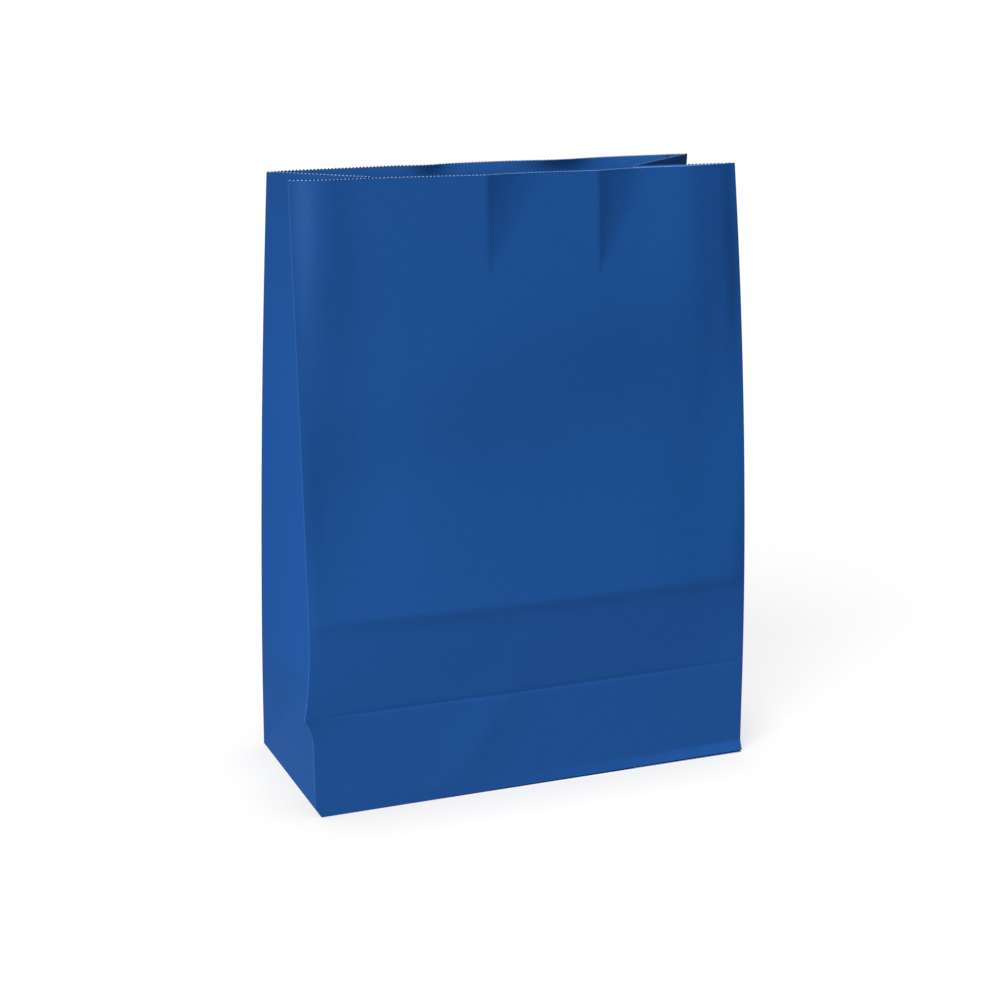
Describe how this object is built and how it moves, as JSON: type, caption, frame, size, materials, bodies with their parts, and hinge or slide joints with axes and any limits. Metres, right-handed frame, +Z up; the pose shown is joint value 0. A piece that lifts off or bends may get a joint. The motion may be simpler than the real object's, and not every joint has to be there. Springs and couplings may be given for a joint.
{
  "type": "paper carrier bag",
  "caption": "Open block-bottom paper carrier bag without handles, with leaning wide panels, folded-in side gussets, a pinked rim and a glued flap bottom.",
  "frame": {"origin": "middle of the bag's base in plan, on the underside of the bottom flaps", "axes": "+Z up, +X to the right as seen from the front, -Y towards the front wide panel"},
  "size_m": [0.2694, 0.1206, 0.3471],
  "materials": {
    "blue_paper": "satin"
  },
  "bodies": {
    "root": {"bag_body": "blue_paper"}
  },
  "joints": []
}
